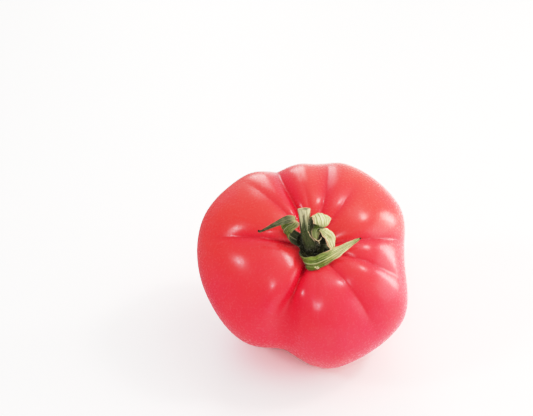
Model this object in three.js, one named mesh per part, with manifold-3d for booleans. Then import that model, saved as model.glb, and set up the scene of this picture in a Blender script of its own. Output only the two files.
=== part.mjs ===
// A ripe, ribbed tomato with its dried calyx and a stub of its stalk.
// Millimetres and degrees. +Z is up, the fruit stands on its flat spot, and the
// origin is under the middle of its box. The fruit leans, so that its stem end
// looks towards -Y.
import * as THREE from 'three';
import { mergeVertices } from 'three/addons/utils/BufferGeometryUtils.js';
import Module from 'manifold-3d';

// Driving dimensions of the fruit
const TYPICAL_RADIUS = 46;
const SHOULDER_HEIGHT = 33;
const BASE_DEPTH = 41;
const SHEAR = 0.12;
const FLAT_SPOT_DEPTH = 2.2;
const STEM_DIMPLE = { depth: 8.5, radius: 14 };
const BLOSSOM_DIMPLE = { depth: 1.5, radius: 9 };
const TILT = 35;
const LEAN = 14;

// How full the outline is, in the powers of its sine and cosine
const SIDE_FULLNESS = 0.92;
const END_FULLNESS = 0.95;

// Each crease runs down from the stem at an angle round it. The crease is cut this
// deep at the shoulder, fades out at the reach (measured from the stem's end of the
// fruit), dents the waist, has a width on the side before it and one after it, and
// bends to the side on its way. The crest is the radius of the lobe that follows it.
const CREASES = [
  { angle: 0, cut: 2.4, reach: 100, waist: 1.0, before: 9, after: 9, crest: 52.0, bend: 0 },
  { angle: 46, cut: 1.6, reach: 55, waist: 0.2, before: 9, after: 9, crest: 52.5, bend: 0 },
  { angle: 66, cut: 2.4, reach: 100, waist: 1.4, before: 10, after: 10, crest: 48.0, bend: 0 },
  { angle: 86, cut: 0.7, reach: 50, waist: 0, before: 6, after: 6, crest: 48.0, bend: 0 },
  { angle: 101, cut: 4.5, reach: 125, waist: 2.8, before: 8, after: 8, crest: 48.5, bend: -8 },
  { angle: 120, cut: 1.5, reach: 75, waist: 1.2, before: 9, after: 9, crest: 47.8, bend: 0 },
  { angle: 162, cut: 3.0, reach: 80, waist: 0.4, before: 10, after: 10, crest: 44.0, bend: 0 },
  { angle: 236, cut: 5.0, reach: 90, waist: 5.4, before: 9, after: 15, crest: 45.0, bend: 10 },
  { angle: 259, cut: 0.8, reach: 55, waist: 0.4, before: 8, after: 8, crest: 49.5, bend: 0 },
  { angle: 298, cut: 2.0, reach: 90, waist: 0.8, before: 12, after: 12, crest: 51.0, bend: 0 },
  { angle: 334, cut: 2.0, reach: 80, waist: 0.6, before: 9, after: 9, crest: 46.0, bend: 0 },
];
const CREASE_START = 15;
const CREASE_SHARPNESS = 1.12;
const SHOULDER_ANGLE = 25;

// The mesh follows the creases, and is finer beside them
const RINGS = 42;
const DEGREES_PER_STEP = 5;
const EXTRA_STEPS_PER_LOBE = 3;
const PULL_TO_CREASE = 0.5;

// The calyx: a shallow cup with five narrow, curled sepals
const SKIN_GAP = 0.35;
const BLADE_THICKNESS = 0.8;
const BLADE_STRIPS = 4;
const STEPS_PER_STATION = 3;
const CUP_SIDES = 24;
const CUP_PROFILE = [[0, 0.4], [3, 0.8], [5.6, 1.9], [7.4, 3.5], [7.0, 4.2], [5.4, 3.5], [3.8, 3.2], [0, 3.2]];

// Stations along each sepal's midrib, measured from the middle of the dimple:
// x, y, height, half width, and the direction across the blade.
// The arch bends the blade's edges towards one face, as a share of its half width.
const SEPALS = [
  { // left: rises, hooks back over itself, folds, and runs out to a dry point
    arch: -0.3,
    stations: [
      [-1, 0, 1.4, 2.2, -0.4, 0.9, 0], [-6, 2.5, 2.8, 3.4, -0.4, 0.9, 0.1], [-10, 5, 4.5, 3.2, -0.4, 0.9, 0.2],
      [-12, 6.5, 6.6, 3.0, -0.4, 0.9, 0.2], [-11, 7.3, 9.0, 2.8, -0.3, 0.9, 0.1], [-8.5, 8, 10.6, 2.4, -0.2, 0.9, 0.1],
      [-8, 8.5, 12.4, 1.9, -0.2, 0.9, 0.1], [-11, 8.8, 13.2, 1.8, -0.2, 0.9, 0.1], [-16, 8.2, 11.4, 1.4, -0.3, 0.9, 0.1],
      [-20, 7.6, 9.2, 0.9, -0.4, 0.9, 0.1], [-22.8, 7.3, 7.6, 0.4, -0.4, 0.9, 0],
    ],
  },
  { // lower: leaves the cup downwards and lies on edge, out to the right
    arch: -0.15,
    stations: [
      [-2.3, -1.3, 1.4, 2.2, -0.9, 0.3, 0.2], [-5.5, -4.3, 2.6, 3.0, -0.8, 0.3, 0.5], [-5.6, -7.6, 4.2, 3.0, -0.35, 0.8, 0.6],
      [-2.4, -8.8, 4.8, 2.9, 0, 0.8, 0.6], [2.2, -7.8, 5.4, 2.8, 0, 0.8, 0.6], [6.2, -6.4, 6.2, 2.5, 0, 0.85, 0.5],
      [9.5, -5.2, 6.8, 1.9, 0, 0.9, 0.4], [13.5, -3.6, 7.4, 1.4, 0, 0.9, 0.4], [16.3, -2.6, 8.0, 0.9, 0, 0.9, 0.4],
      [18.8, -1.8, 8.4, 0.4, 0, 0.9, 0.4],
    ],
  },
  { // upper: stands up behind the stalk and curls over in a round hood
    arch: -0.4,
    stations: [
      [0.4, 0.6, 1.4, 2.2, 0.95, 0, 0], [-0.2, 3.4, 4, 2.4, 0.95, 0, 0], [0, 6.0, 7.6, 2.8, 0.95, 0, 0],
      [0.6, 8.4, 11.2, 3.5, 0.95, 0, -0.1], [1.6, 9.2, 14.0, 3.9, 0.9, 0.1, -0.2], [2.4, 7.8, 15.2, 4.0, 0.9, 0.2, -0.2],
      [3.0, 5.4, 14.6, 3.8, 0.9, 0.1, -0.1], [3.0, 4.0, 12.4, 3.0, 0.95, 0, 0], [2.8, 4.6, 10.4, 1.4, 0.95, 0, 0],
    ],
  },
  { // right: leaves the cup low and folds back up over it
    arch: 0.3,
    stations: [
      [0.5, -0.3, 1.4, 2.2, 0.2, 0.95, 0], [3, -2.6, 2.6, 2.3, 0.2, 0.95, 0], [5.6, -3.4, 4.2, 2.4, 0.35, 0.9, 0],
      [6.8, -3, 7, 2.5, 0.6, 0.75, -0.1], [6.2, -1.5, 9.8, 2.8, 0.7, 0.65, -0.1], [4.6, 0.4, 11.8, 2.5, 0.7, 0.65, -0.1],
      [2.5, 2, 12.6, 1.6, 0.7, 0.65, -0.1], [0.8, 3.1, 12.2, 0.5, 0.7, 0.65, -0.1],
    ],
  },
  { // front: short, and mostly under the lower one
    arch: -0.2,
    stations: [
      [-1.5, -1.4, 1.4, 2.0, 0.95, 0, 0], [-2.5, -5, 2.6, 2.4, 0.95, 0, 0], [-2.6, -8.4, 3.9, 2.2, 0.95, 0.1, 0],
      [-1.8, -10.5, 4.1, 1.4, 0.95, 0.2, 0], [-0.8, -12, 3.9, 0.4, 0.95, 0.2, 0],
    ],
  },
];

// The stalk: x, y, height and radius, from its flared foot to its cut end
const STALK = [
  [-1.5, -1.2, 2.9, 3.0], [-2.0, 0.0, 4.3, 2.9], [-3.0, 2.1, 6.4, 2.5],
  [-3.9, 5.2, 9.6, 2.2], [-4.1, 8.7, 12.4, 2.2], [-4.0, 12.0, 14.6, 2.5],
];
const STALK_SIDES = 20;
const STALK_RINGS = 18;
const STALK_RIDGES = 5;
const STALK_RIDGE_HEIGHT = 0.06;
const SOCKET_GAP = 0.3;

const smooth = (value) => THREE.MathUtils.smoothstep(value, 0, 1);
const radians = THREE.MathUtils.degToRad;

// The shortest turn from one angle to another
function turnBetween(from, to) {
  return THREE.MathUtils.euclideanModulo(to - from + 180, 360) - 180;
}

function nextCreaseAngle(index) {
  const next = CREASES[(index + 1) % CREASES.length].angle;
  return next > CREASES[index].angle ? next : next + 360;
}

// The fruit's radius round the stem, eased from the crest of one lobe to the next
function crestRadius(longitude) {
  const count = CREASES.length;
  const middle = (index) => (CREASES[index].angle + nextCreaseAngle(index)) / 2;
  for (let index = 0; index < count; index++) {
    const next = (index + 1) % count;
    const span = THREE.MathUtils.euclideanModulo(middle(next) - middle(index), 360);
    const along = THREE.MathUtils.euclideanModulo(longitude - middle(index), 360);
    if (along <= span) {
      return THREE.MathUtils.lerp(CREASES[index].crest, CREASES[next].crest, smooth(along / span));
    }
  }
  return TYPICAL_RADIUS;
}

function creaseAngleAt(crease, polar) {
  return crease.angle + crease.bend * smooth((polar - SHOULDER_ANGLE) / 75);
}

// How far the creases draw the skin in at one place
function creaseDepth(polar, longitude) {
  let depth = 0;
  for (const crease of CREASES) {
    const away = turnBetween(creaseAngleAt(crease, polar), longitude);
    const width = away < 0 ? crease.before : crease.after;
    const fade = 1 - smooth((polar - SHOULDER_ANGLE) / (crease.reach - SHOULDER_ANGLE));
    const start = smooth(polar / CREASE_START);
    const sharp = crease.cut * start * fade * Math.exp(-((Math.abs(away) / width) ** CREASE_SHARPNESS));
    const belt = smooth((polar - 20) / 60) * (1 - smooth((polar - 95) / 75));
    const broad = crease.waist * belt * Math.exp(-((away / (0.8 * (crease.before + crease.after))) ** 2));
    depth += sharp + broad;
  }
  return depth;
}

// A point of the skin. The polar angle runs from the stem (0) to the blossom end (180).
function skinPoint(polar, longitude) {
  const up = Math.cos(radians(polar));
  const end = up > 0 ? SHOULDER_HEIGHT : -BASE_DEPTH;
  const dimple = up > 0 ? STEM_DIMPLE : BLOSSOM_DIMPLE;
  const crestR = crestRadius(longitude) * Math.sin(radians(polar)) ** SIDE_FULLNESS;
  const crestZ = end * Math.abs(up) ** END_FULLNESS;
  const outward = new THREE.Vector2(crestR / TYPICAL_RADIUS ** 2, crestZ / end ** 2).normalize();
  const depth = creaseDepth(polar, longitude);
  const sunk = Math.sign(up) * dimple.depth * Math.exp(-((crestR / dimple.radius) ** 2));
  const radius = crestR - depth * outward.x;
  const height = crestZ - depth * outward.y - sunk;
  return new THREE.Vector3(
    radius * Math.cos(radians(longitude)),
    radius * Math.sin(radians(longitude)) - SHEAR * height,
    height,
  );
}

// Longitudes of one ring, so that every crease has a line of the mesh in it
function ringLongitudes(polar) {
  const longitudes = [];
  CREASES.forEach((crease, index) => {
    const next = CREASES[(index + 1) % CREASES.length];
    const width = nextCreaseAngle(index) - crease.angle;
    const steps = Math.round(width / DEGREES_PER_STEP) + EXTRA_STEPS_PER_LOBE;
    const from = creaseAngleAt(crease, polar);
    const to = from + width + (creaseAngleAt(next, polar) - next.angle) - (from - crease.angle);
    for (let step = 0; step < steps; step++) {
      const share = step / steps;
      const pulled = share - PULL_TO_CREASE * Math.sin(2 * Math.PI * share) / (2 * Math.PI);
      longitudes.push(THREE.MathUtils.lerp(from, to, pulled));
    }
  });
  return longitudes;
}

// The fruit's skin as rings of points between its two ends
function fruitRings() {
  const rings = [];
  for (let ring = 1; ring < RINGS; ring++) {
    const polar = 180 * ring / RINGS;
    rings.push(ringLongitudes(polar).map((longitude) => skinPoint(polar, longitude)));
  }
  return rings;
}

// A closed round skin from rings and the points at its two ends
function roundSkin(top, rings, bottom) {
  const points = [top, ...rings.flat(), bottom];
  const count = rings[0].length;
  const at = (ring, step) => 1 + ring * count + (step % count);
  const faces = [];
  for (let step = 0; step < count; step++) {
    faces.push(0, at(0, step), at(0, step + 1));
    for (let ring = 0; ring < rings.length - 1; ring++) {
      faces.push(at(ring, step), at(ring + 1, step), at(ring + 1, step + 1));
      faces.push(at(ring, step), at(ring + 1, step + 1), at(ring, step + 1));
    }
    faces.push(at(rings.length - 1, step), points.length - 1, at(rings.length - 1, step + 1));
  }
  const geometry = new THREE.BufferGeometry().setFromPoints(points);
  geometry.setIndex(faces);
  return geometry;
}

// A closed tube from rings. Point k of a ring faces point n-1-k across it, so the
// two faces of a thin strip are split into triangles alike.
function tubeSkin(rings) {
  const count = rings[0].length;
  const last = rings.length - 1;
  const at = (ring, step) => ring * count + (step % count);
  const faces = [];
  for (let ring = 0; ring < last; ring++) {
    for (let step = 0; step < count; step++) {
      const [a, b, c, d] = [at(ring, step), at(ring, step + 1), at(ring + 1, step + 1), at(ring + 1, step)];
      if (step < count / 2) {
        faces.push(a, b, c, a, c, d);
      } else {
        faces.push(a, b, d, b, c, d);
      }
    }
  }
  for (let step = 0; step < count / 2 - 1; step++) {
    const [a, b, c, d] = [step, step + 1, count - 2 - step, count - 1 - step];
    faces.push(at(0, a), at(0, d), at(0, c), at(0, a), at(0, c), at(0, b));
    faces.push(at(last, a), at(last, b), at(last, c), at(last, a), at(last, c), at(last, d));
  }
  const geometry = new THREE.BufferGeometry().setFromPoints(rings.flat());
  geometry.setIndex(faces);
  return geometry;
}

const smoothCurve = (points) => new THREE.CatmullRomCurve3(points, false, 'catmullrom', 0.5);

// One sepal: a thin arched strip swept along its midrib
function sepalGeometry(sepal, middle) {
  const midrib = smoothCurve(sepal.stations.map(([x, y, h]) => new THREE.Vector3(x, y, h).add(middle)));
  const across = smoothCurve(sepal.stations.map((station) => new THREE.Vector3(...station.slice(4))));
  const halves = smoothCurve(sepal.stations.map((station) => new THREE.Vector3(station[3], 0, 0)));
  const steps = (sepal.stations.length - 1) * STEPS_PER_STATION;
  const rings = [];
  for (let step = 0; step <= steps; step++) {
    const along = step / steps;
    const centre = midrib.getPoint(along);
    const tangent = midrib.getTangent(along);
    const side = across.getPoint(along).projectOnPlane(tangent).normalize();
    const normal = new THREE.Vector3().crossVectors(tangent, side);
    const half = halves.getPoint(along).x;
    const upper = [];
    const lower = [];
    for (let strip = 0; strip <= BLADE_STRIPS; strip++) {
      const share = 2 * strip / BLADE_STRIPS - 1;
      const place = centre.clone().addScaledVector(side, share * half);
      place.addScaledVector(normal, sepal.arch * half * share ** 2);
      upper.push(place.clone().addScaledVector(normal, BLADE_THICKNESS / 2));
      lower.push(place.clone().addScaledVector(normal, -BLADE_THICKNESS / 2));
    }
    rings.push([...lower, ...upper.reverse()]);
  }
  return tubeSkin(rings);
}

// The stalk, made wider all round by a clearance when it cuts its socket
function stalkGeometry(middle, clearance) {
  const line = smoothCurve(STALK.map(([x, y, h]) => new THREE.Vector3(x, y, h).add(middle)));
  const radii = smoothCurve(STALK.map((station) => new THREE.Vector3(station[3], 0, 0)));
  const rings = [];
  for (let ring = 0; ring <= STALK_RINGS; ring++) {
    const along = ring / STALK_RINGS;
    const tangent = line.getTangent(along);
    const centre = line.getPoint(along);
    if (ring === 0) centre.addScaledVector(tangent, -clearance);
    const side = new THREE.Vector3(1, 0, 0).projectOnPlane(tangent).normalize();
    const normal = new THREE.Vector3().crossVectors(tangent, side);
    const points = [];
    for (let step = 0; step < STALK_SIDES; step++) {
      const angle = 2 * Math.PI * (step + 0.5) / STALK_SIDES;
      const ridge = 1 + STALK_RIDGE_HEIGHT * Math.cos(STALK_RIDGES * angle);
      const radius = radii.getPoint(along).x * ridge + clearance;
      points.push(centre.clone()
        .addScaledVector(side, radius * Math.cos(angle))
        .addScaledVector(normal, radius * Math.sin(angle)));
    }
    rings.push(points);
  }
  return tubeSkin(rings);
}

// The cup that the sepals and the stalk grow from
function cupGeometry(middle) {
  const cup = new THREE.LatheGeometry(CUP_PROFILE.map(([r, h]) => new THREE.Vector2(r, h)), CUP_SIDES);
  cup.rotateX(Math.PI / 2);
  cup.translate(middle.x, middle.y, middle.z);
  return cup;
}

const wasm = await Module();
wasm.setup();

function toSolid(geometry) {
  const bare = geometry.clone();
  bare.deleteAttribute('normal');
  bare.deleteAttribute('uv');
  const merged = mergeVertices(bare);
  return new wasm.Manifold(new wasm.Mesh({
    numProp: 3,
    vertProperties: new Float32Array(merged.attributes.position.array),
    triVerts: new Uint32Array(merged.index.array),
  }));
}

function toGeometry(solid) {
  const mesh = solid.getMesh();
  const geometry = new THREE.BufferGeometry();
  geometry.setAttribute('position', new THREE.BufferAttribute(mesh.vertProperties, 3));
  geometry.setIndex(new THREE.BufferAttribute(mesh.triVerts, 1));
  return geometry;
}

// The fruit, swollen by a gap, cuts the calyx so that it lies clear of the skin
function swollenFruit(skin) {
  const swollen = skin.clone();
  swollen.computeVertexNormals();
  const place = new THREE.Vector3();
  const normal = new THREE.Vector3();
  for (let index = 0; index < swollen.attributes.position.count; index++) {
    place.fromBufferAttribute(swollen.attributes.position, index);
    normal.fromBufferAttribute(swollen.attributes.normal, index);
    place.addScaledVector(normal, SKIN_GAP);
    swollen.attributes.position.setXYZ(index, place.x, place.y, place.z);
  }
  return swollen;
}

// The fruit's own weight presses its lowest part flat
function pressFlat(skin, up) {
  const place = new THREE.Vector3();
  const position = skin.attributes.position;
  let lowest = Infinity;
  for (let index = 0; index < position.count; index++) {
    lowest = Math.min(lowest, place.fromBufferAttribute(position, index).dot(up));
  }
  const ground = lowest + FLAT_SPOT_DEPTH;
  for (let index = 0; index < position.count; index++) {
    place.fromBufferAttribute(position, index);
    place.addScaledVector(up, Math.max(0, ground - place.dot(up)));
    position.setXYZ(index, place.x, place.y, place.z);
  }
}

function named(name, geometry, look) {
  const mesh = new THREE.Mesh(geometry, new THREE.MeshStandardMaterial(look));
  mesh.name = name;
  return mesh;
}

const stemEnd = skinPoint(0, 0);
const skin = roundSkin(stemEnd, fruitRings(), skinPoint(180, 0));
const leaning = new THREE.Group();
leaning.rotation.set(radians(TILT), 0, radians(LEAN), 'ZXY');

const calyx = [...SEPALS.map((sepal) => sepalGeometry(sepal, stemEnd)), cupGeometry(stemEnd)]
  .map(toSolid)
  .reduce((joined, piece) => joined.add(piece))
  .subtract(toSolid(swollenFruit(skin)))
  .subtract(toSolid(stalkGeometry(stemEnd, SOCKET_GAP)));
pressFlat(skin, new THREE.Vector3(0, 0, 1).applyQuaternion(leaning.quaternion.clone().invert()));

leaning.add(named('fruit', skin, { color: 0xe2414f, roughness: 0.3, metalness: 0 }));
leaning.add(named('calyx', toGeometry(calyx), { color: 0x6d8a4c, roughness: 0.85, metalness: 0 }));
leaning.add(named('stem', stalkGeometry(stemEnd, 0), { color: 0x8b9a6c, roughness: 0.85, metalness: 0 }));

// Stands the tomato on its flat spot with the middle of its box over the origin
const tomato = new THREE.Group();
tomato.add(leaning);
tomato.updateMatrixWorld(true);
const box = new THREE.Box3().setFromObject(tomato, true);
const middle = box.getCenter(new THREE.Vector3());
tomato.position.set(-middle.x, -middle.y, -box.min.z);

export default tomato;
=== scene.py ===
"""A ripe, ribbed tomato with its dried calyx and the stub of its stalk, resting on a white table."""
import bisect
import math
import random

import bmesh
import bpy
from mathutils import Matrix, Vector


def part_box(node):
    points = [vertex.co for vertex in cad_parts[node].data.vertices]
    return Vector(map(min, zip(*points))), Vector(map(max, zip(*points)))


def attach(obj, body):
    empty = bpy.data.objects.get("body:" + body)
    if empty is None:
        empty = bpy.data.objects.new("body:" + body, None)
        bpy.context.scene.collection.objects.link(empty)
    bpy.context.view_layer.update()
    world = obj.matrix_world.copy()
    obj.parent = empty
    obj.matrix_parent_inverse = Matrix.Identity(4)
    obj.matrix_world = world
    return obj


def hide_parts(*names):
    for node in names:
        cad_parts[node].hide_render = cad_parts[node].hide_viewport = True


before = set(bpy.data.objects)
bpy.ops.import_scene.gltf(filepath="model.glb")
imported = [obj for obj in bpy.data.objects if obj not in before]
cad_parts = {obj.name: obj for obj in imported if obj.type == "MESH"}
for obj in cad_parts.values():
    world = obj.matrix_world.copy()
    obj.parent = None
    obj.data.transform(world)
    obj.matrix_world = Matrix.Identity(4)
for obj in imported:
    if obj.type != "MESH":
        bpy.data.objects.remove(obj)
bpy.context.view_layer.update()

# The fruit is one berry, grown in lobes round its core with a crease between each two.
# A thin, tight skin covers soft flesh. The stem end leans towards the front, and the
# fruit's own weight presses it flat where it rests.
FRUIT_RADIUS = 0.046
SHOULDER_HEIGHT = 0.033
BASE_DEPTH = 0.041
FRUIT_SHEAR = 0.12
FLAT_SPOT_DEPTH = 0.0022
FLAT_SPOT_SOFTNESS = 0.0005
STEM_DIMPLE = (0.0085, 0.014)
BLOSSOM_DIMPLE = (0.0015, 0.009)
SIDE_FULLNESS = 0.92
END_FULLNESS = 0.95
TILT = math.radians(35)
LEAN = math.radians(14)
LEANING = Matrix.Rotation(LEAN, 3, "Z") @ Matrix.Rotation(TILT, 3, "X")

# Each crease: its angle round the stem, its depth at the shoulder, how far round the
# fruit it reaches, its dent in the waist, its width before and after it, the radius of
# the lobe that follows it, and how far it bends on its way down. Angles are in degrees.
CREASES = [
    (0, 0.0024, 100, 0.0010, 9, 9, 0.0520, 0),
    (46, 0.0016, 55, 0.0002, 9, 9, 0.0525, 0),
    (66, 0.0024, 100, 0.0014, 10, 10, 0.0480, 0),
    (86, 0.0007, 50, 0.0, 6, 6, 0.0480, 0),
    (101, 0.0045, 125, 0.0028, 8, 8, 0.0485, -8),
    (120, 0.0015, 75, 0.0012, 9, 9, 0.0478, 0),
    (162, 0.0030, 80, 0.0004, 10, 10, 0.0440, 0),
    (236, 0.0050, 108, 0.0054, 9, 11, 0.0450, 12),
    (259, 0.0003, 40, 0.0, 8, 8, 0.0495, 0),
    (298, 0.0020, 90, 0.0008, 12, 12, 0.0510, 0),
    (334, 0.0020, 80, 0.0006, 9, 9, 0.0460, 0),
]
CREASE_START = 15
CREASE_SHARPNESS = 1.12
SHOULDER_ANGLE = 25
MERIDIANS = 352
PARALLELS = 160
SAME_PLACE = 1e-7
# The painted crease shade is at its full where a crease is drawn in this far.
DEEPEST_CREASE = 0.005
# The painted shadow line along a crease is at its full from this depth, and is this many degrees wide.
FULL_SHADOW_LINE_CREASE = 0.0038
SHADOW_LINE_WIDTH = 2.6
SCAR_WIDTH = 4.0
STREAK_STRETCH = 400

# The waist is the belt where the broad dents lie: where it begins and ends, and over how
# many degrees it does so. One crease opens into a flat valley on its way down.
WAIST_BEGINS, WAIST_BEGINS_OVER = 20, 60
WAIST_ENDS, WAIST_ENDS_OVER = 95, 75
WAIST_SPREAD = 0.8
BENDS_OVER = 75
VALLEY = 236
VALLEY_OPENS = 30
VALLEY_FLATNESS = 2.8


def smooth(value):
    value = min(max(value, 0.0), 1.0)
    return value * value * (3 - 2 * value)


def mix(low, high, share):
    return low + (high - low) * share


CREST_ANGLES = [
    (here[0] + (after[0] if after[0] > here[0] else after[0] + 360)) / 2
    for here, after in zip(CREASES, CREASES[1:] + CREASES[:1])
]


def crest_radius(longitude):
    """The fruit's radius round the stem, eased from the crest of one lobe to the next."""
    turned = (longitude - CREST_ANGLES[0]) % 360 + CREST_ANGLES[0]
    lobe = bisect.bisect_right(CREST_ANGLES, turned) - 1
    following = (lobe + 1) % len(CREASES)
    span = (CREST_ANGLES[following] - CREST_ANGLES[lobe]) % 360
    share = smooth((turned - CREST_ANGLES[lobe]) / span)
    return mix(CREASES[lobe][6], CREASES[following][6], share)


def crease_depth(polar, longitude):
    """How far the creases draw the skin in, their sharp part alone as the mask of the painted crease
    shade, and the mask of a painted shadow line along each.
    """
    sharp = broad = line = 0.0
    start = smooth(polar / CREASE_START)
    belt = smooth((polar - WAIST_BEGINS) / WAIST_BEGINS_OVER)
    belt *= 1 - smooth((polar - WAIST_ENDS) / WAIST_ENDS_OVER)
    for angle, cut, reach, waist, before, after, _, bend in CREASES:
        middle = angle + bend * smooth((polar - SHOULDER_ANGLE) / BENDS_OVER)
        away = (longitude - middle + 180) % 360 - 180
        width = before if away < 0 else after
        fade = 1 - smooth((polar - SHOULDER_ANGLE) / (reach - SHOULDER_ANGLE))
        opened = smooth((polar - SHOULDER_ANGLE) / VALLEY_OPENS) if angle == VALLEY else 0.0
        roundness = mix(CREASE_SHARPNESS, VALLEY_FLATNESS, opened)
        profile = math.exp(-((abs(away) / width) ** roundness))
        sharp += cut * start * fade * profile
        broad += waist * belt * math.exp(-((away / (WAIST_SPREAD * (before + after))) ** 2))
        # The mask of the painted shadow line along the crease, faded out where the valley opens.
        lined = start * fade * min(cut / FULL_SHADOW_LINE_CREASE, 1.0) * (1 - opened)
        line = max(line, lined * math.exp(-((away / SHADOW_LINE_WIDTH) ** 2)))
    return sharp + broad, sharp, line


def skin_point(polar, longitude, drawn_in):
    """A point of the skin on the upright fruit, polar degrees from the stem."""
    rise = math.cos(math.radians(polar))
    end = SHOULDER_HEIGHT if rise > 0 else -BASE_DEPTH
    depth, spread = STEM_DIMPLE if rise > 0 else BLOSSOM_DIMPLE
    crest_r = crest_radius(longitude) * max(math.sin(math.radians(polar)), 0.0) ** SIDE_FULLNESS
    crest_z = end * abs(rise) ** END_FULLNESS
    outward = Vector((crest_r / FRUIT_RADIUS**2, crest_z / end**2)).normalized()
    radius = crest_r - drawn_in * outward.x
    height = crest_z - drawn_in * outward.y
    height -= math.copysign(depth * math.exp(-((crest_r / spread) ** 2)), rise)
    turn = math.radians(longitude)
    return Vector((radius * math.cos(turn), radius * math.sin(turn) - FRUIT_SHEAR * height, height))


def add_node(tree, kind, inputs=None, **settings):
    """A shader node with its settings, and its inputs given as values or as sockets."""
    made = tree.nodes.new(kind)
    for name, value in settings.items():
        setattr(made, name, value)
    for name, value in (inputs or {}).items():
        if isinstance(value, bpy.types.NodeSocket):
            tree.links.new(value, made.inputs[name])
        else:
            made.inputs[name].default_value = value
    return made


def new_material(name):
    """A material with a Principled shader, its node tree and that shader."""
    material = bpy.data.materials.new(name)
    material.use_nodes = True
    return material, material.node_tree, material.node_tree.nodes["Principled BSDF"]


def blend_colours(tree, share, low, high, way="MIX"):
    """A colour between two, by a share from 0 to 1."""
    made = tree.nodes.new("ShaderNodeMix")
    made.data_type = "RGBA"
    made.blend_type = way
    for socket, value in zip((made.inputs[0], made.inputs[6], made.inputs[7]), (share, low, high)):
        if isinstance(value, bpy.types.NodeSocket):
            tree.links.new(value, socket)
        else:
            socket.default_value = value
    return made.outputs[2]


def ramp(tree, value, low, high, to_low=0.0, to_high=1.0):
    """A value eased from one range to another."""
    made = add_node(
        tree,
        "ShaderNodeMapRange",
        {"Value": value, "From Min": low, "From Max": high, "To Min": to_low, "To Max": to_high},
        interpolation_type="SMOOTHSTEP",
    )
    return made.outputs["Result"]


def finish_piece(bm, name, material, node):
    """Turns a bmesh into an object that stands for a node of the frame."""
    mesh = bpy.data.meshes.new(name)
    bm.normal_update()
    bm.to_mesh(mesh)
    bm.free()
    mesh.shade_smooth()
    mesh.materials.append(material)
    piece = bpy.data.objects.new(name, mesh)
    bpy.context.collection.objects.link(piece)
    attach(piece, "root")
    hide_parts(node)
    return piece


def mottling_group():
    """Soft blotches and fine specks that a living surface has, as masks and a normal."""
    group = bpy.data.node_groups.new("living_surface", "ShaderNodeTree")
    for name in ("Blotch Scale", "Speck Scale", "Grain Scale", "Relief"):
        group.interface.new_socket(name, in_out="INPUT", socket_type="NodeSocketFloat")
    for name in ("Blotches", "Specks", "Grain"):
        group.interface.new_socket(name, in_out="OUTPUT", socket_type="NodeSocketFloat")
    group.interface.new_socket("Normal", in_out="OUTPUT", socket_type="NodeSocketVector")
    given = group.nodes.new("NodeGroupInput")
    place = group.nodes.new("ShaderNodeTexCoord").outputs["Object"]
    blotches = add_node(
        group,
        "ShaderNodeTexNoise",
        {"Vector": place, "Scale": given.outputs["Blotch Scale"], "Detail": 3.0, "Roughness": 0.55},
    )
    cells = add_node(
        group, "ShaderNodeTexVoronoi", {"Vector": place, "Scale": given.outputs["Speck Scale"]}
    )
    grain = add_node(
        group,
        "ShaderNodeTexNoise",
        {"Vector": place, "Scale": given.outputs["Grain Scale"], "Detail": 2.0, "Roughness": 0.6},
    )
    specks = ramp(group, cells.outputs["Distance"], 0.42, 0.08)
    height = add_node(
        group, "ShaderNodeMath", {0: grain.outputs["Fac"], 1: specks}, operation="SUBTRACT"
    )
    bump = add_node(
        group,
        "ShaderNodeBump",
        {"Strength": given.outputs["Relief"], "Distance": 0.0002, "Height": height.outputs[0]},
    )
    result = group.nodes.new("NodeGroupOutput")
    group.links.new(blotches.outputs["Fac"], result.inputs["Blotches"])
    group.links.new(specks, result.inputs["Specks"])
    group.links.new(grain.outputs["Fac"], result.inputs["Grain"])
    group.links.new(bump.outputs["Normal"], result.inputs["Normal"])
    return group


living_surface = mottling_group()


def place_living_surface(tree, blotch_scale, speck_scale, grain_scale, relief):
    """The shared surface effect, placed in a material with that material's own values."""
    values = {
        "Blotch Scale": blotch_scale,
        "Speck Scale": speck_scale,
        "Grain Scale": grain_scale,
        "Relief": relief,
    }
    return add_node(tree, "ShaderNodeGroup", values, node_tree=living_surface)


def attribute(tree, name, output="Fac"):
    """What a piece's vertices carry under a name."""
    return add_node(tree, "ShaderNodeAttribute", attribute_name=name).outputs[output]


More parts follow.
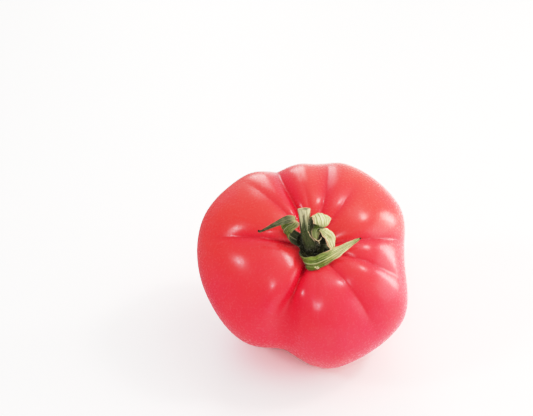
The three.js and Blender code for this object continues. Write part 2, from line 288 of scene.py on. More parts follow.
def skin_material():
    """Glossy skin: pink-red, warmer on top, with pale pin-prick specks, painted shade in the creases and
    a painted shadow line along each.
    """
    rose = (0.75, 0.024, 0.067, 1)
    scarlet = (0.75, 0.052, 0.043, 1)
    painted_crease_shade = (0.68, 0.009, 0.040, 1)
    painted_crease_shadow = (0.48, 0.0020, 0.014, 1)
    speck_pink = (0.75, 0.13, 0.12, 1)
    cork = (0.33, 0.17, 0.07, 1)
    material, tree, shader = new_material("ripe_skin")
    surface = place_living_surface(tree, 45.0, 1700.0, 900.0, 0.02)
    crease_shade_mask = attribute(tree, "crease_shade_mask")
    line = attribute(tree, "line")
    scar = attribute(tree, "scar")
    meridian = attribute(tree, "meridian", "Vector")
    place = tree.nodes.new("ShaderNodeTexCoord").outputs["Object"]
    height = add_node(tree, "ShaderNodeSeparateXYZ", {"Vector": place}).outputs["Z"]
    streaks = add_node(
        tree, "ShaderNodeTexNoise", {"Vector": meridian, "Scale": 26.0, "Detail": 4.0, "Roughness": 0.6}
    ).outputs["Fac"]
    warmth = ramp(tree, height, 0.024, 0.080)
    warmed = add_node(
        tree, "ShaderNodeMath", {0: surface.outputs["Blotches"], 1: 0.5}, operation="SUBTRACT"
    ).outputs[0]
    warm_share = add_node(
        tree, "ShaderNodeMath", {0: warmed, 1: 1.1, 2: warmth}, operation="MULTIPLY_ADD", use_clamp=True
    ).outputs[0]
    colour = blend_colours(tree, warm_share, rose, scarlet)
    colour = blend_colours(tree, ramp(tree, streaks, 0.45, 0.75, 0.0, 0.16), colour, speck_pink)
    speck_share = add_node(
        tree, "ShaderNodeMath", {0: surface.outputs["Specks"], 1: 0.07}, operation="MULTIPLY"
    ).outputs[0]
    colour = blend_colours(tree, speck_share, colour, speck_pink)
    # Painted shade: the creases are darkened to a duller red.
    colour = blend_colours(tree, ramp(tree, crease_shade_mask, 0.04, 0.60, 0.0, 0.9), colour, painted_crease_shade)
    # Painted shadow: a dark red line along the bottom of each crease.
    colour = blend_colours(tree, ramp(tree, line, 0.05, 0.95, 0.0, 0.65), colour, painted_crease_shadow)
    colour = blend_colours(tree, ramp(tree, scar, 0.35, 0.75), colour, cork)
    tree.links.new(colour, shader.inputs["Base Color"])
    roughness = ramp(tree, surface.outputs["Grain"], 0.3, 0.7, 0.22, 0.29)
    rougher = add_node(
        tree, "ShaderNodeMath", {0: scar, 1: 0.45, 2: roughness}, operation="MULTIPLY_ADD"
    )
    tree.links.new(rougher.outputs[0], shader.inputs["Roughness"])
    tree.links.new(surface.outputs["Normal"], shader.inputs["Normal"])
    shader.inputs["Subsurface Weight"].default_value = 0.25
    shader.inputs["Subsurface Radius"].default_value = (1.0, 0.22, 0.16)
    shader.inputs["Subsurface Scale"].default_value = 0.002
    shader.inputs["IOR"].default_value = 1.45
    return material


def grow_fruit():
    """The skin as a fine sheet rolled into a ball, moved out to the lobes and in to the creases."""
    bm = bmesh.new()
    crease_shade_mask = bm.verts.layers.float.new("crease_shade_mask")
    shadow_line_layer = bm.verts.layers.float.new("line")
    scar = bm.verts.layers.float.new("scar")
    meridian = bm.verts.layers.float_vector.new("meridian")
    bmesh.ops.create_grid(bm, x_segments=MERIDIANS, y_segments=PARALLELS, size=1.0)
    for vert in bm.verts:
        longitude, polar = 180 * (1 + vert.co.x) % 360, 90 * (1 - vert.co.y)
        # The sharp part of each crease and the line along it are kept as masks of painted shade.
        drawn_in, sharp, vert[shadow_line_layer] = crease_depth(polar, longitude)
        vert[crease_shade_mask] = min(sharp / DEEPEST_CREASE, 1.0)
        vert[scar] = math.exp(-(((180 - polar) / SCAR_WIDTH) ** 2))
        turn = math.radians(longitude)
        vert[meridian] = (math.cos(turn), math.sin(turn), polar / STREAK_STRETCH)
        vert.co = LEANING @ skin_point(polar, longitude, drawn_in)
    bmesh.ops.remove_doubles(bm, verts=bm.verts, dist=SAME_PLACE)
    bmesh.ops.recalc_face_normals(bm, faces=bm.faces)
    return bm


def settle(bm):
    """Stands the fruit on its flat spot, in the middle of its solid's box. Returns how far it moved."""
    low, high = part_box("fruit")
    lows = [min(vert.co[axis] for vert in bm.verts) for axis in range(3)]
    highs = [max(vert.co[axis] for vert in bm.verts) for axis in range(3)]
    moved = Vector((low.x + high.x - lows[0] - highs[0], low.y + high.y - lows[1] - highs[1], 0)) / 2
    moved.z = low.z - lows[2] - FLAT_SPOT_DEPTH
    for vert in bm.verts:
        vert.co += moved
        above = vert.co.z - low.z
        vert.co.z = low.z + (above + math.hypot(above, FLAT_SPOT_SOFTNESS)) / 2
    return moved


fruit_bm = grow_fruit()
FRUIT_CENTRE = settle(fruit_bm)
fruit = finish_piece(fruit_bm, "ripe_fruit", skin_material(), "fruit")


# The calyx is the green star that held the flower: five sepals on a shallow cup.
# They are half dried, so they curl and fold over. Each blade is thinner at its edges,
# has a midrib with a few veins beside it, and is paler where it has dried; on the crests
# of the dome and the folds that pale colour is partly painted highlight.
STEM_END = skin_point(0, 0, 0)
MILLIMETRE = 0.001
BLADE_THICKNESS = 0.00050
BLADE_EDGE = 0.30
SEPAL_LENGTHWISE = 130
SEPAL_CROSSWISE = 24
MARGIN_WAVE = 0.00030
MIDRIB_HEIGHT = 0.00025
MIDRIB_WIDTH = 0.12
MIDRIB_FADES_OVER = 0.2
FURL_HEIGHT = 0.00010
FREE_FROM = 0.3
TANGENT_REACH = 0.0005

# Each sepal: the arch of its blade, the face that was outside on the bud, and stations
# along its midrib, in millimetres from the middle of the dimple: x, y, height, half
# width, the direction across the blade, and how pale it is, from drying and, on the
# crests, from painted highlight.
SEPALS = {
    "left": (-0.3, 1, [
        (-1, 0, 1.4, 2.2, -0.4, 0.9, 0, 0), (-6, 2.5, 2.8, 3.4, -0.4, 0.9, 0.1, 0),
        (-10, 5, 4.5, 3.2, -0.4, 0.9, 0.2, 0), (-12, 6.5, 6.6, 3.0, -0.4, 0.9, 0.2, 0.1),
        (-11, 7.3, 9.0, 2.8, -0.3, 0.9, 0.1, 0.1), (-8.5, 8, 10.6, 2.4, -0.2, 0.9, 0.1, 0.3),
        (-8, 8.5, 12.4, 1.6, -0.2, 0.9, 0.1, 0.9), (-11, 8.8, 13.2, 1.6, -0.2, 0.9, 0.1, 0.2),
        (-16, 8.2, 11.4, 1.1, -0.3, 0.9, 0.1, 0.05), (-20, 7.6, 9.2, 0.65, -0.4, 0.9, 0.1, 0.1),
        (-22.4, 7.3, 7.8, 0.45, -0.4, 0.9, 0, 0.1), (-23.4, 7.6, 8.3, 0.2, -0.4, 0.9, 0, 0.1),
    ]),
    "lower": (-0.15, 1, [
        (-2.3, -1.3, 1.4, 2.2, -0.9, 0.3, 0.2, 0), (-5.5, -4.3, 2.6, 3.0, -0.8, 0.3, 0.5, 0),
        (-5.6, -7.6, 4.2, 3.0, -0.35, 0.8, 0.6, 0), (-2.4, -8.8, 4.8, 2.9, 0, 0.8, 0.6, 0.05),
        (2.2, -7.8, 5.4, 2.8, 0, 0.8, 0.6, 0.1), (6.2, -6.4, 6.2, 2.5, 0, 0.85, 0.5, 0.6),
        (9.5, -5.2, 6.8, 1.9, 0, 0.9, 0.4, 0.95), (13.5, -3.6, 7.4, 1.3, 0, 0.9, 0.4, 0.8),
        (16.3, -2.6, 8.0, 0.8, 0, 0.9, 0.4, 0.5), (18.8, -1.8, 8.4, 0.25, 0, 0.9, 0.4, 0.5),
    ]),
    "upper": (-0.4, 1, [
        (0.4, 0.6, 1.4, 2.2, 0.95, 0, 0, 0), (-0.2, 3.4, 4, 2.4, 0.95, 0, 0, 0),
        (0, 6.0, 7.6, 2.8, 0.95, 0, 0, 0.1), (0.6, 8.4, 11.2, 3.5, 0.95, 0, -0.1, 0.2),
        (1.6, 9.2, 14.0, 3.2, 0.9, 0.1, -0.2, 0.8), (2.2, 7.8, 15.2, 3.5, 0.9, 0.1, -0.2, 1),
        (2.8, 5.4, 14.6, 3.9, 0.95, 0, -0.1, 1), (2.7, 4.0, 12.6, 3.3, 0.95, 0, 0, 0.7),
        (1.4, 4.0, 11.2, 2.2, 0.9, -0.3, 0, 0), (0.0, 3.0, 10.8, 1.9, 0.9, -0.3, 0, 0.3),
        (-0.4, 1.0, 10.0, 1.5, 0.95, 0, 0, 0.35), (-0.3, -0.8, 8.6, 0.3, 0.95, 0, 0, 0.3),
    ]),
    "right": (0.3, -1, [
        (0.5, -0.3, 1.4, 2.2, 0.2, 0.95, 0, 0), (3, -2.6, 2.6, 2.3, 0.2, 0.95, 0, 0),
        (5.6, -3.4, 4.2, 2.4, 0.35, 0.9, 0, 0.4), (6.8, -3, 7, 2.5, 0.6, 0.75, -0.1, 0.8),
        (6.2, -1.5, 9.8, 2.8, 0.7, 0.65, -0.1, 1), (4.6, 0.4, 11.8, 2.5, 0.7, 0.65, -0.1, 0.9),
        (2.5, 2, 12.6, 1.6, 0.7, 0.65, -0.1, 0.8), (0.8, 3.1, 12.2, 0.3, 0.7, 0.65, -0.1, 0.7),
    ]),
    "front": (-0.2, -1, [
        (-1.5, -1.4, 1.4, 2.0, 0.95, 0, 0, 0), (-2.5, -5, 2.6, 2.4, 0.95, 0, 0, 0.1),
        (-2.4, -8.0, 3.8, 2.0, 0.95, 0.1, 0, 0.4), (-1.4, -9.8, 4.0, 1.1, 0.95, 0.2, 0, 0.9),
        (-0.6, -11.2, 3.8, 0.25, 0.95, 0.2, 0, 1),
    ]),
}


def along_rows(rows, share):
    """All the values of a list of stations at a share of its length, on a smooth curve."""
    place = share * (len(rows) - 1)
    index = min(int(place), len(rows) - 2)
    part = place - index
    here, after = rows[index], rows[index + 1]
    before = rows[index - 1] if index > 0 else [2 * a - b for a, b in zip(here, after)]
    beyond = rows[index + 2] if index + 2 < len(rows) else [2 * b - a for a, b in zip(here, after)]
    values = []
    for a, b, c, d in zip(before, here, after, beyond):
        lead, trail = (c - a) / 2, (d - b) / 2
        cubic = 2 * b - 2 * c + lead + trail
        square = -3 * b + 3 * c - 2 * lead - trail
        values.append(((cubic * part + square) * part + lead) * part + b)
    return values


def midrib_frames(rows, steps):
    """At even steps: the place, half width, direction across, normal, and the paleness from drying and
    painted highlight.
    """
    frames = []
    for step in range(steps + 1):
        along = step / steps
        ahead = Vector(along_rows(rows, min(along + TANGENT_REACH, 1.0))[:3])
        behind = Vector(along_rows(rows, max(along - TANGENT_REACH, 0.0))[:3])
        tangent = (ahead - behind).normalized()
        values = along_rows(rows, along)
        side = Vector(values[4:7])
        side = (side - side.dot(tangent) * tangent).normalized()
        place = Vector(values[:3]) * MILLIMETRE
        frames.append((place, values[3] * MILLIMETRE, side, tangent.cross(side), values[7:]))
    return frames


def from_stem_end(place):
    """A place measured from the middle of the dimple, put where the leaning fruit holds it."""
    return LEANING @ (place + STEM_END) + FRUIT_CENTRE


def leaf_material():
    """Matt sepals: green outside, grey-green inside, straw at the edges, brown at the tip, pale where
    dried and on the crests with painted highlight, and near black at the base with painted shade.
    """
    inner_green = (0.095, 0.110, 0.045, 1)
    outer_green = (0.190, 0.250, 0.040, 1)
    dried = (0.70, 0.67, 0.43, 1)
    straw = (0.66, 0.44, 0.30, 1)
    brown = (0.030, 0.012, 0.006, 1)
    painted_base_shade = (0.020, 0.019, 0.006, 1)
    dark_fibre = (0.34, 0.38, 0.26, 1)
    unchanged = (1, 1, 1, 1)
    material, tree, shader = new_material("dried_sepal")
    surface = place_living_surface(tree, 420.0, 2600.0, 2400.0, 0.8)
    blade = attribute(tree, "blade", "Vector")
    dryness_and_highlight = attribute(tree, "dryness_and_highlight")
    parts = add_node(tree, "ShaderNodeSeparateXYZ", {"Vector": blade})
    along, across, face = parts.outputs["X"], parts.outputs["Y"], parts.outputs["Z"]
    off_rib = add_node(tree, "ShaderNodeMath", {0: across}, operation="ABSOLUTE").outputs[0]
    fibre_place = add_node(
        tree, "ShaderNodeVectorMath", {0: blade, 1: (2.2, 7.0, 1.0)}, operation="MULTIPLY"
    )
    fibres = add_node(
        tree,
        "ShaderNodeTexNoise",
        {"Vector": fibre_place.outputs[0], "Scale": 1.6, "Detail": 4.0, "Roughness": 0.65},
    ).outputs["Fac"]
    colour = blend_colours(tree, ramp(tree, face, -0.2, 0.2), inner_green, outer_green)
    patchy = add_node(
        tree,
        "ShaderNodeMath",
        {0: surface.outputs["Blotches"], 1: 0.9, 2: -0.45},
        operation="MULTIPLY_ADD",
    ).outputs[0]
    pale_share = add_node(
        tree, "ShaderNodeMath", {0: dryness_and_highlight, 1: patchy}, operation="ADD", use_clamp=True
    )
    # The pale colour of drying, which on the crests of the dome and folds is partly painted highlight.
    colour = blend_colours(tree, pale_share.outputs[0], colour, dried)
    darker = blend_colours(tree, ramp(tree, fibres, 0.58, 0.40, 0.0, 0.95), unchanged, dark_fibre)
    colour = blend_colours(tree, 1.0, colour, darker, "MULTIPLY")
    colour = blend_colours(tree, ramp(tree, off_rib, 0.11, 0.03, 0.0, 0.45), colour, dried)
    dry_edge = add_node(
        tree,
        "ShaderNodeMath",
        {0: ramp(tree, off_rib, 0.80, 0.97, 0.0, 0.9), 1: ramp(tree, dryness_and_highlight, 0.05, 0.45, 0.15, 1.0)},
        operation="MULTIPLY",
    )
    colour = blend_colours(tree, dry_edge.outputs[0], colour, straw)
    colour = blend_colours(tree, ramp(tree, along, 0.950, 0.98), colour, brown)
    # Painted shade: the blades darken to near black at their base, where they sit in the cup.
    colour = blend_colours(tree, ramp(tree, along, 0.20, 0.04, 0.0, 0.95), colour, painted_base_shade)
    tree.links.new(colour, shader.inputs["Base Color"])
    roughness = ramp(tree, surface.outputs["Grain"], 0.3, 0.7, 0.60, 0.82)
    tree.links.new(roughness, shader.inputs["Roughness"])
    shader.inputs["Specular IOR Level"].default_value = 0.22
    relief = add_node(tree, "ShaderNodeBump", {"Strength": 0.5, "Distance": 0.0003, "Height": fibres})
    tree.links.new(surface.outputs["Normal"], relief.inputs["Normal"])
    tree.links.new(relief.outputs["Normal"], shader.inputs["Normal"])
    return material


def grow_sepal(bm, arch, outside, rows, phase):
    """One sepal: two sheets joined at their rim, moved on to the midrib, thin at the edges."""
    blade = bm.verts.layers.float_vector["blade"]
    dryness_and_highlight = bm.verts.layers.float["dryness_and_highlight"]
    frames = midrib_frames(rows, SEPAL_LENGTHWISE)
    sheet = bmesh.ops.create_grid(
        bm, x_segments=SEPAL_LENGTHWISE, y_segments=SEPAL_CROSSWISE, size=1.0
    )["verts"]
    for vert in sheet:
        vert[blade] = ((vert.co.x + 1) / 2, vert.co.y, 1.0)
    faces = list({face for vert in sheet for face in vert.link_faces})
    copied = bmesh.ops.duplicate(bm, geom=faces)["geom"]
    backs = [item for item in copied if isinstance(item, bmesh.types.BMVert)]
    for vert in backs:
        vert[blade] = ((vert.co.x + 1) / 2, vert.co.y, -1.0)
    bmesh.ops.reverse_faces(bm, faces=[item for item in copied if isinstance(item, bmesh.types.BMFace)])
    rim = {edge for vert in sheet + backs for edge in vert.link_edges if edge.is_boundary}
    bmesh.ops.bridge_loops(bm, edges=list(rim))
    for vert in sheet + backs:
        along, across, face = vert[blade]
        place, half, side, normal, dry = frames[round(along * SEPAL_LENGTHWISE)]
        thin = 1 - (1 - BLADE_EDGE) * across**4
        free = smooth(along / FREE_FROM)
        wave = MARGIN_WAVE * across**2 * math.sin(23 * along + phase + 1.5 * across) * free
        rib = MIDRIB_HEIGHT * outside * math.exp(-((across / MIDRIB_WIDTH) ** 2))
        rib *= smooth((1 - along) / MIDRIB_FADES_OVER)
        furl = FURL_HEIGHT * math.sin(9.5 * across + phase + 4 * along) * free
        lift = arch * half * across**2 + wave + rib + furl + face * thin * BLADE_THICKNESS / 2
        ragged = 1 + 0.05 * math.sin(41 * along + 2 * phase) * across**2
        vert.co = from_stem_end(place + side * across * half * ragged + normal * lift)
        vert[blade] = (along, across, face * outside)
        vert[dryness_and_highlight] = dry[0]


def grow_calyx():
    """The five sepals in one piece, each a closed blade."""
    bm = bmesh.new()
    bm.verts.layers.float_vector.new("blade")
    bm.verts.layers.float.new("dryness_and_highlight")
    for phase, (arch, outside, rows) in enumerate(SEPALS.values()):
        grow_sepal(bm, arch, outside, rows, phase)
    bmesh.ops.recalc_face_normals(bm, faces=bm.faces)
    return bm


sepals = finish_piece(grow_calyx(), "sepals", leaf_material(), "calyx")

# The cup of the calyx, where the sepals and the stalk meet: a fleshy green dish with
# a low rim, hairy inside, seated in the middle of the dimple. Painted shade darkens most
# of it to near black.
CUP_PROFILE = [
    (0, 0.4), (3, 0.8), (5.6, 1.9), (7.4, 3.5), (7.2, 4.0), (6.9, 4.1), (5.4, 3.5), (3.8, 3.2), (0, 3.2),
]
CUP_STEPS = 80
CUP_CORNERS = 5
CUP_CORNER_HEIGHT = 0.07
CUP_TURN = 0.6


def cup_material():
    """Green-brown flesh under the hairs, darkened to near black in patches with painted shade."""
    dark_green_and_shade = (0.012, 0.011, 0.004, 1)
    olive = (0.055, 0.055, 0.016, 1)
    material, tree, shader = new_material("calyx_cup")
    surface = place_living_surface(tree, 700.0, 2600.0, 3000.0, 0.9)
    # Painted shade: near-black green, broken by olive patches.
    colour = blend_colours(tree, ramp(tree, surface.outputs["Blotches"], 0.45, 0.75), dark_green_and_shade, olive)
    tree.links.new(colour, shader.inputs["Base Color"])
    tree.links.new(ramp(tree, surface.outputs["Grain"], 0.3, 0.7, 0.7, 0.9), shader.inputs["Roughness"])
    shader.inputs["Specular IOR Level"].default_value = 0.12
    tree.links.new(surface.outputs["Normal"], shader.inputs["Normal"])
    return material


def grow_cup():
    """The cup's profile turned round its middle, and drawn out at five soft corners."""
    bm = bmesh.new()
    bands = len(CUP_PROFILE) - 1
    bmesh.ops.create_grid(bm, x_segments=CUP_STEPS, y_segments=bands, size=1.0)
    for vert in bm.verts:
        turn = math.pi * vert.co.x
        radius, height = CUP_PROFILE[round((1 + vert.co.y) / 2 * bands)]
        radius *= 1 + CUP_CORNER_HEIGHT * math.cos(CUP_CORNERS * turn - CUP_TURN)
        place = Vector((radius * math.cos(turn), radius * math.sin(turn), height))
        vert.co = from_stem_end(place * MILLIMETRE)
    bmesh.ops.remove_doubles(bm, verts=bm.verts, dist=SAME_PLACE)
    bmesh.ops.recalc_face_normals(bm, faces=bm.faces)
    return bm


cup = finish_piece(grow_cup(), "calyx_cup", cup_material(), "calyx")
cup_smooth = cup.modifiers.new("rounded", "SUBSURF")
cup_smooth.levels = cup_smooth.render_levels = 1

# The stalk is what is left of the stem that carried the fruit: fibrous and ridged, with
# a flared foot in the cup, and a dry, pale pith where it was cut.
STALK = [
    (-1.5, -1.2, 2.9, 3.0), (-2.0, 0.0, 4.3, 2.9), (-3.0, 2.1, 6.4, 2.5),
    (-3.9, 5.2, 9.6, 2.2), (-4.1, 8.7, 12.4, 2.2), (-4.0, 12.0, 14.6, 2.5),
]
STALK_SIDES = 72
STALK_RINGS = 80
STALK_RIDGES = 5
STALK_RIDGE_HEIGHT = 0.06
CUT_END_INSETS = ((0.00025, 0.0), (0.0003, -0.0004), (0.0007, 0.0001))


def grow_tube(bm, rows, rings, sides, outline):
    """A sheet rolled round a line of stations and closed at both ends. Returns the last end."""
    frames = midrib_frames([row + (1, 0, 0) for row in rows], rings)
    fibre = bm.verts.layers.float_vector.get("fibre") or bm.verts.layers.float_vector.new("fibre")
    sheet = bmesh.ops.create_grid(bm, x_segments=rings, y_segments=sides, size=1.0)["verts"]
    for vert in sheet:
        along, turn = (vert.co.x + 1) / 2, math.pi * vert.co.y
        place, radius, side, normal, _ = frames[round(along * rings)]
        spoke = side * math.cos(turn) + normal * math.sin(turn)
        vert[fibre] = (math.cos(turn), math.sin(turn), along)
        vert.co = place + spoke * radius * outline(turn, along)
    bmesh.ops.remove_doubles(bm, verts=sheet, dist=SAME_PLACE)
    rims = [edge for edge in bm.edges if edge.is_boundary]
    ends = bmesh.ops.holes_fill(bm, edges=rims, sides=0)["faces"]
    return max(ends, key=lambda face: sum(vert[fibre].z for vert in face.verts) / len(face.verts))


def stalk_outline(turn, along):
    """The stalk's radius round it: five ridges, with finer fibres on them."""
    ridges = STALK_RIDGE_HEIGHT * math.cos(STALK_RIDGES * turn + 0.8 * along)
    fibres = 0.025 * math.sin(17 * turn + 3 * along) + 0.018 * math.sin(31 * turn - 2 * along)
    return 1 + ridges + fibres


def stalk_material():
    """Ridged green fibres with dark streaks, grey straw towards the top, painted shade towards the foot,
    and a pale pith at the cut.
    """
    green = (0.075, 0.092, 0.030, 1)
    straw_grey = (0.60, 0.56, 0.38, 1)
    dark_fibre_and_shade = (0.022, 0.018, 0.008, 1)
    pith = (0.50, 0.43, 0.27, 1)
    material, tree, shader = new_material("dry_stalk")
    surface = place_living_surface(tree, 520.0, 2600.0, 2600.0, 0.8)
    fibre = attribute(tree, "fibre", "Vector")
    end = attribute(tree, "cut_end")
    height = add_node(tree, "ShaderNodeSeparateXYZ", {"Vector": fibre}).outputs["Z"]
    lengthwise = add_node(
        tree, "ShaderNodeVectorMath", {0: fibre, 1: (1.0, 1.0, 0.5)}, operation="MULTIPLY"
    )
    strands = add_node(
        tree,
        "ShaderNodeTexNoise",
        {"Vector": lengthwise.outputs[0], "Scale": 3.6, "Detail": 5.0, "Roughness": 0.75},
    ).outputs["Fac"]
    # The stalk turns to grey straw towards its top.
    paler_up = ramp(tree, height, 0.25, 0.95, -0.42, 0.03)
    pale_share = add_node(tree, "ShaderNodeMath", {0: paler_up, 1: strands}, operation="ADD")
    colour = blend_colours(tree, ramp(tree, pale_share.outputs[0], 0.36, 0.56), green, straw_grey)
    colour = blend_colours(tree, ramp(tree, strands, 0.46, 0.36, 0.0, 0.8), colour, dark_fibre_and_shade)
    # Painted shade: the stalk darkens towards its foot in the cup.
    colour = blend_colours(tree, ramp(tree, height, 0.42, 0.05, 0.0, 0.9), colour, dark_fibre_and_shade)
    colour = blend_colours(tree, end, colour, pith)
    tree.links.new(colour, shader.inputs["Base Color"])
    roughness = ramp(tree, surface.outputs["Grain"], 0.3, 0.7, 0.65, 0.9)
    tree.links.new(roughness, shader.inputs["Roughness"])
    shader.inputs["Specular IOR Level"].default_value = 0.2
    relief = add_node(tree, "ShaderNodeBump", {"Strength": 0.6, "Distance": 0.0003, "Height": strands})
    tree.links.new(surface.outputs["Normal"], relief.inputs["Normal"])
    tree.links.new(relief.outputs["Normal"], shader.inputs["Normal"])
    return material


def grow_stalk():
    """The ridged stalk, with its cut end sunk a little round the pith."""
    bm = bmesh.new()
    cut_end = bm.verts.layers.float.new("cut_end")
    top = grow_tube(bm, STALK, STALK_RINGS, STALK_SIDES, stalk_outline)
    bmesh.ops.recalc_face_normals(bm, faces=bm.faces)
    for inset, sink in CUT_END_INSETS:
        bmesh.ops.inset_region(bm, faces=[top], thickness=inset, depth=sink)
        for vert in top.verts:
            vert[cut_end] = 1.0
    for vert in bm.verts:
        vert.co = from_stem_end(vert.co)
    return bm


stalk = finish_piece(grow_stalk(), "stalk", stalk_material(), "stem")

# Fine pale hairs stand all over the sepals, the cup and the stalk. Each is a single
# tapering hair that grew out of the surface, and they lie at every angle.
HAIR_COUNTS = {"sepals": 2600, "calyx_cup": 900, "stalk": 1300}
HAIR_LENGTH = (0.0003, 0.0011)
HAIR_RADIUS = 0.000028
HAIR_SPREAD = 0.9
HAIR_MIDDLE = 0.42


def hair_material():
    """Whitish hair, browner where the noise says that it has dried."""
    white = (0.62, 0.60, 0.46, 1)
    tan = (0.33, 0.24, 0.14, 1)
    material, tree, shader = new_material("plant_hair")
    place = tree.nodes.new("ShaderNodeTexCoord").outputs["Object"]
    tone = add_node(tree, "ShaderNodeTexNoise", {"Vector": place, "Scale": 300.0, "Detail": 1.0})
    colour = blend_colours(tree, ramp(tree, tone.outputs["Fac"], 0.4, 0.6), white, tan)
    tree.links.new(colour, shader.inputs["Base Color"])
    shader.inputs["Roughness"].default_value = 0.5
    return material


def grow_hairs(carrier, count, dice):
    """Thin three-sided spikes on the faces of a piece, more of them on larger faces."""
    faces = carrier.data.polygons
    reach = []
    total = 0.0
    for face in faces:
        total += face.area
        reach.append(total)
    bm = bmesh.new()
    for _ in range(count):
        face = faces[bisect.bisect_left(reach, dice.uniform(0, total))]
        lean = Vector((dice.gauss(0, 1), dice.gauss(0, 1), dice.gauss(0, 1))) * HAIR_SPREAD / 2
        direction = (face.normal + lean).normalized()
        length = dice.uniform(*HAIR_LENGTH)
        spike = direction.to_track_quat("Z", "Y").to_matrix().to_4x4()
        spike.translation = face.center + direction * length * HAIR_MIDDLE
        bmesh.ops.create_cone(
            bm, cap_ends=True, segments=3, radius1=HAIR_RADIUS, radius2=0, depth=length, matrix=spike
        )
    return bm


hair = hair_material()
HAIR_CARRIERS = [(sepals, "calyx", "calyx"), (cup, "calyx", "calyx"), (stalk, "stem", "stem")]
for carrier, node, slot in HAIR_CARRIERS:
    count = HAIR_COUNTS[carrier.name]
    grown = grow_hairs(carrier, count, random.Random(count))
    finish_piece(grown, "hairs_on_" + carrier.name, hair, node)

# Three shrivelled threads of the flower are left at the foot of the stalk. They dried
# to thin, pale curls.
THREADS = [
    [
        (-3.6, 3.4, 10.9, 0.30), (-3.0, 2.6, 9.9, 0.34), (-2.2, 1.5, 8.9, 0.30),
        (-1.1, 0.5, 7.6, 0.26), (-0.3, -0.1, 6.2, 0.12),
    ],
    [
        (-1.2, 0.6, 9.6, 0.16), (-0.7, -0.3, 9.6, 0.26), (0.3, -0.9, 9.6, 0.32),
        (1.3, -0.5, 10.0, 0.26), (1.6, 0.2, 10.6, 0.10),
    ],
    [(-0.2, 0.6, 6.9, 0.16), (0.5, 0.2, 7.4, 0.26), (1.0, -0.6, 7.3, 0.24), (1.2, -1.4, 6.5, 0.10)],
]
THREAD_RINGS = 40
THREAD_SIDES = 8


def thread_material():
    """Dry, pale straw with darker fibres."""
    pale = (0.60, 0.50, 0.33, 1)
    tan = (0.30, 0.22, 0.12, 1)
    material, tree, shader = new_material("dry_thread")
    fibre = attribute(tree, "fibre", "Vector")
    tone = add_node(tree, "ShaderNodeTexNoise", {"Vector": fibre, "Scale": 6.0, "Detail": 3.0})
    colour = blend_colours(tree, ramp(tree, tone.outputs["Fac"], 0.4, 0.65), pale, tan)
    tree.links.new(colour, shader.inputs["Base Color"])
    shader.inputs["Roughness"].default_value = 0.7
    return material


def twisted_outline(turn, along):
    """A thread's radius round it: flattened, and twisted along its length."""
    return 1 + 0.25 * math.sin(2 * turn + 9 * along)


def grow_threads():
    """The threads in one piece, each a flattened, twisted tube."""
    bm = bmesh.new()
    for rows in THREADS:
        grow_tube(bm, rows, THREAD_RINGS, THREAD_SIDES, twisted_outline)
    bmesh.ops.recalc_face_normals(bm, faces=bm.faces)
    for vert in bm.verts:
        vert.co = from_stem_end(vert.co)
    return bm


finish_piece(grow_threads(), "dry_threads", thread_material(), "calyx")

# The table is plain white, and so is the room round it. Tall and high windows light the
# fruit from the right, weaker ones from the front, and a pale screen stands behind it.
TABLE_SIZE = 6.0
ROOM_LIGHT = (0.30, 1.02)
BRIGHT_SIDE = (0.7, 0.3, 0.5)
COOL_SIDE = (0.90, 0.95, 1.0, 1)
WARM_SIDE = (1.0, 0.96, 0.90, 1)


def white_table():
    """The table. Only its mirror image in the skin is made dimmer, towards the left."""
    bm = bmesh.new()
    bmesh.ops.create_grid(bm, x_segments=1, y_segments=1, size=TABLE_SIZE / 2)
    mesh = bpy.data.meshes.new("table_top")
    bm.to_mesh(mesh)
    bm.free()
    white = (0.93, 0.92, 0.915, 1)
    dimmed = (0.15, 0.11, 0.115, 1)
    material, tree, shader = new_material("white_table")
    place = tree.nodes.new("ShaderNodeTexCoord").outputs["Object"]
    sideways = add_node(tree, "ShaderNodeSeparateXYZ", {"Vector": place}).outputs["X"]
    mirrored = tree.nodes.new("ShaderNodeLightPath").outputs["Is Glossy Ray"]
    leftwards = ramp(tree, sideways, 0.02, -0.08)
    share = add_node(tree, "ShaderNodeMath", {0: leftwards, 1: mirrored}, operation="MULTIPLY")
    tree.links.new(blend_colours(tree, share.outputs[0], white, dimmed), shader.inputs["Base Color"])
    shader.inputs["Emission Color"].default_value = white
    shader.inputs["Emission Strength"].default_value = 0.08
    shader.inputs["Roughness"].default_value = 0.55
    mesh.materials.append(material)
    table = bpy.data.objects.new("table_top", mesh)
    bpy.context.collection.objects.link(table)


def soft_lamp(name, azimuth, elevation, distance, width, height, power, colour):
    """An area lamp aimed at the fruit. Azimuth 0 is behind it, and 90 is to its right."""
    lamp = bpy.data.lights.new(name, "AREA")
    lamp.shape = "RECTANGLE"
    lamp.size = width
    lamp.size_y = height
    lamp.energy = power
    lamp.color = colour
    holder = bpy.data.objects.new(name, lamp)
    bpy.context.collection.objects.link(holder)
    turn, rise = math.radians(azimuth), math.radians(elevation)
    aim = Vector((math.sin(turn) * math.cos(rise), math.cos(turn) * math.cos(rise), math.sin(rise)))
    holder.location = FRUIT_CENTRE + aim * distance
    holder.rotation_euler = aim.to_track_quat("Z", "Y").to_euler()


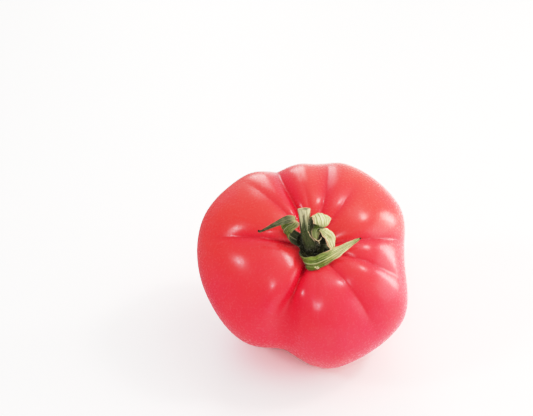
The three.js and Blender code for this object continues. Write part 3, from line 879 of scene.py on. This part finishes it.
white_table()
soft_lamp("right_window", 66, 12, 0.9, 0.14, 0.42, 1.9, (1.0, 0.97, 0.93))
soft_lamp("right_wall", 92, 6, 0.9, 0.75, 0.60, 3.1, (1.0, 0.97, 0.94))
soft_lamp("front_left", -108, 35, 0.9, 0.15, 0.15, 1.2, (0.95, 0.97, 1.0))
soft_lamp("front_window", 187, 37, 0.9, 0.14, 0.18, 1.1, (0.98, 0.98, 1.0))
soft_lamp("back_screen", -7, 26, 1.1, 0.34, 0.85, 2.1, (1.0, 0.99, 0.98))
soft_lamp("high_window", 80, 51, 0.9, 0.15, 0.15, 1.35, (1.0, 0.98, 0.97))
soft_lamp("overhead", 75, 66, 1.0, 0.55, 0.55, 0.9, (1.0, 0.99, 0.97))
world = bpy.data.worlds.new("white_room")
world.use_nodes = True
room = world.node_tree
direction = room.nodes.new("ShaderNodeTexCoord").outputs["Generated"]
towards = add_node(room, "ShaderNodeVectorMath", {0: direction, 1: BRIGHT_SIDE}, operation="DOT_PRODUCT")
brightness = ramp(room, towards.outputs["Value"], -0.6, 0.9, *ROOM_LIGHT)
sideways = add_node(room, "ShaderNodeSeparateXYZ", {"Vector": direction}).outputs["X"]
tone = blend_colours(room, ramp(room, sideways, -0.8, 0.8), COOL_SIDE, WARM_SIDE)
room.links.new(tone, room.nodes["Background"].inputs["Color"])
room.links.new(brightness, room.nodes["Background"].inputs["Strength"])
bpy.context.scene.world = world

# The picture is exposed as bright studio pictures are: the reds level off before white.
WHITE_LIGHT = 1.28
EXPOSURE_CURVE = [
    (0.04, 0.045), (0.08, 0.10), (0.14, 0.20), (0.29, 0.50), (0.47, 0.76), (0.65, 0.85), (0.85, 0.94),
]
view = bpy.context.scene.view_settings
view.view_transform = "Standard"
view.use_curve_mapping = True
view.curve_mapping.white_level = (WHITE_LIGHT, WHITE_LIGHT, WHITE_LIGHT)
for light, shown in EXPOSURE_CURVE:
    view.curve_mapping.curves[3].points.new(light, shown)
view.curve_mapping.update()

# The camera looks down on the fruit from the front, as it was photographed. The fruit's
# middle shows at a given pixel of a frame of 533 by 416.
FRAME_WIDTH, FRAME_HEIGHT = 533, 416
FRUIT_PIXEL = (302, 262)
FOCAL_PIXELS = 1187
SENSOR_WIDTH = 36.0
CAMERA_DISTANCE = 0.520
CAMERA_PITCH = math.radians(32)

camera_data = bpy.data.cameras.new("camera")
camera_data.sensor_width = SENSOR_WIDTH
camera_data.lens = SENSOR_WIDTH * FOCAL_PIXELS / FRAME_WIDTH
camera_data.clip_start = 0.01
camera = bpy.data.objects.new("camera", camera_data)
bpy.context.collection.objects.link(camera)
forward = Vector((0, math.cos(CAMERA_PITCH), -math.sin(CAMERA_PITCH)))
upward = Vector((0, math.sin(CAMERA_PITCH), math.cos(CAMERA_PITCH)))
right_shift = (FRUIT_PIXEL[0] - FRAME_WIDTH / 2) / FOCAL_PIXELS * CAMERA_DISTANCE
up_shift = (FRAME_HEIGHT / 2 - FRUIT_PIXEL[1]) / FOCAL_PIXELS * CAMERA_DISTANCE
camera.location = FRUIT_CENTRE - forward * CAMERA_DISTANCE - upward * up_shift
camera.location.x -= right_shift
camera.rotation_euler = (math.radians(90) - CAMERA_PITCH, 0, 0)
bpy.context.scene.camera = camera
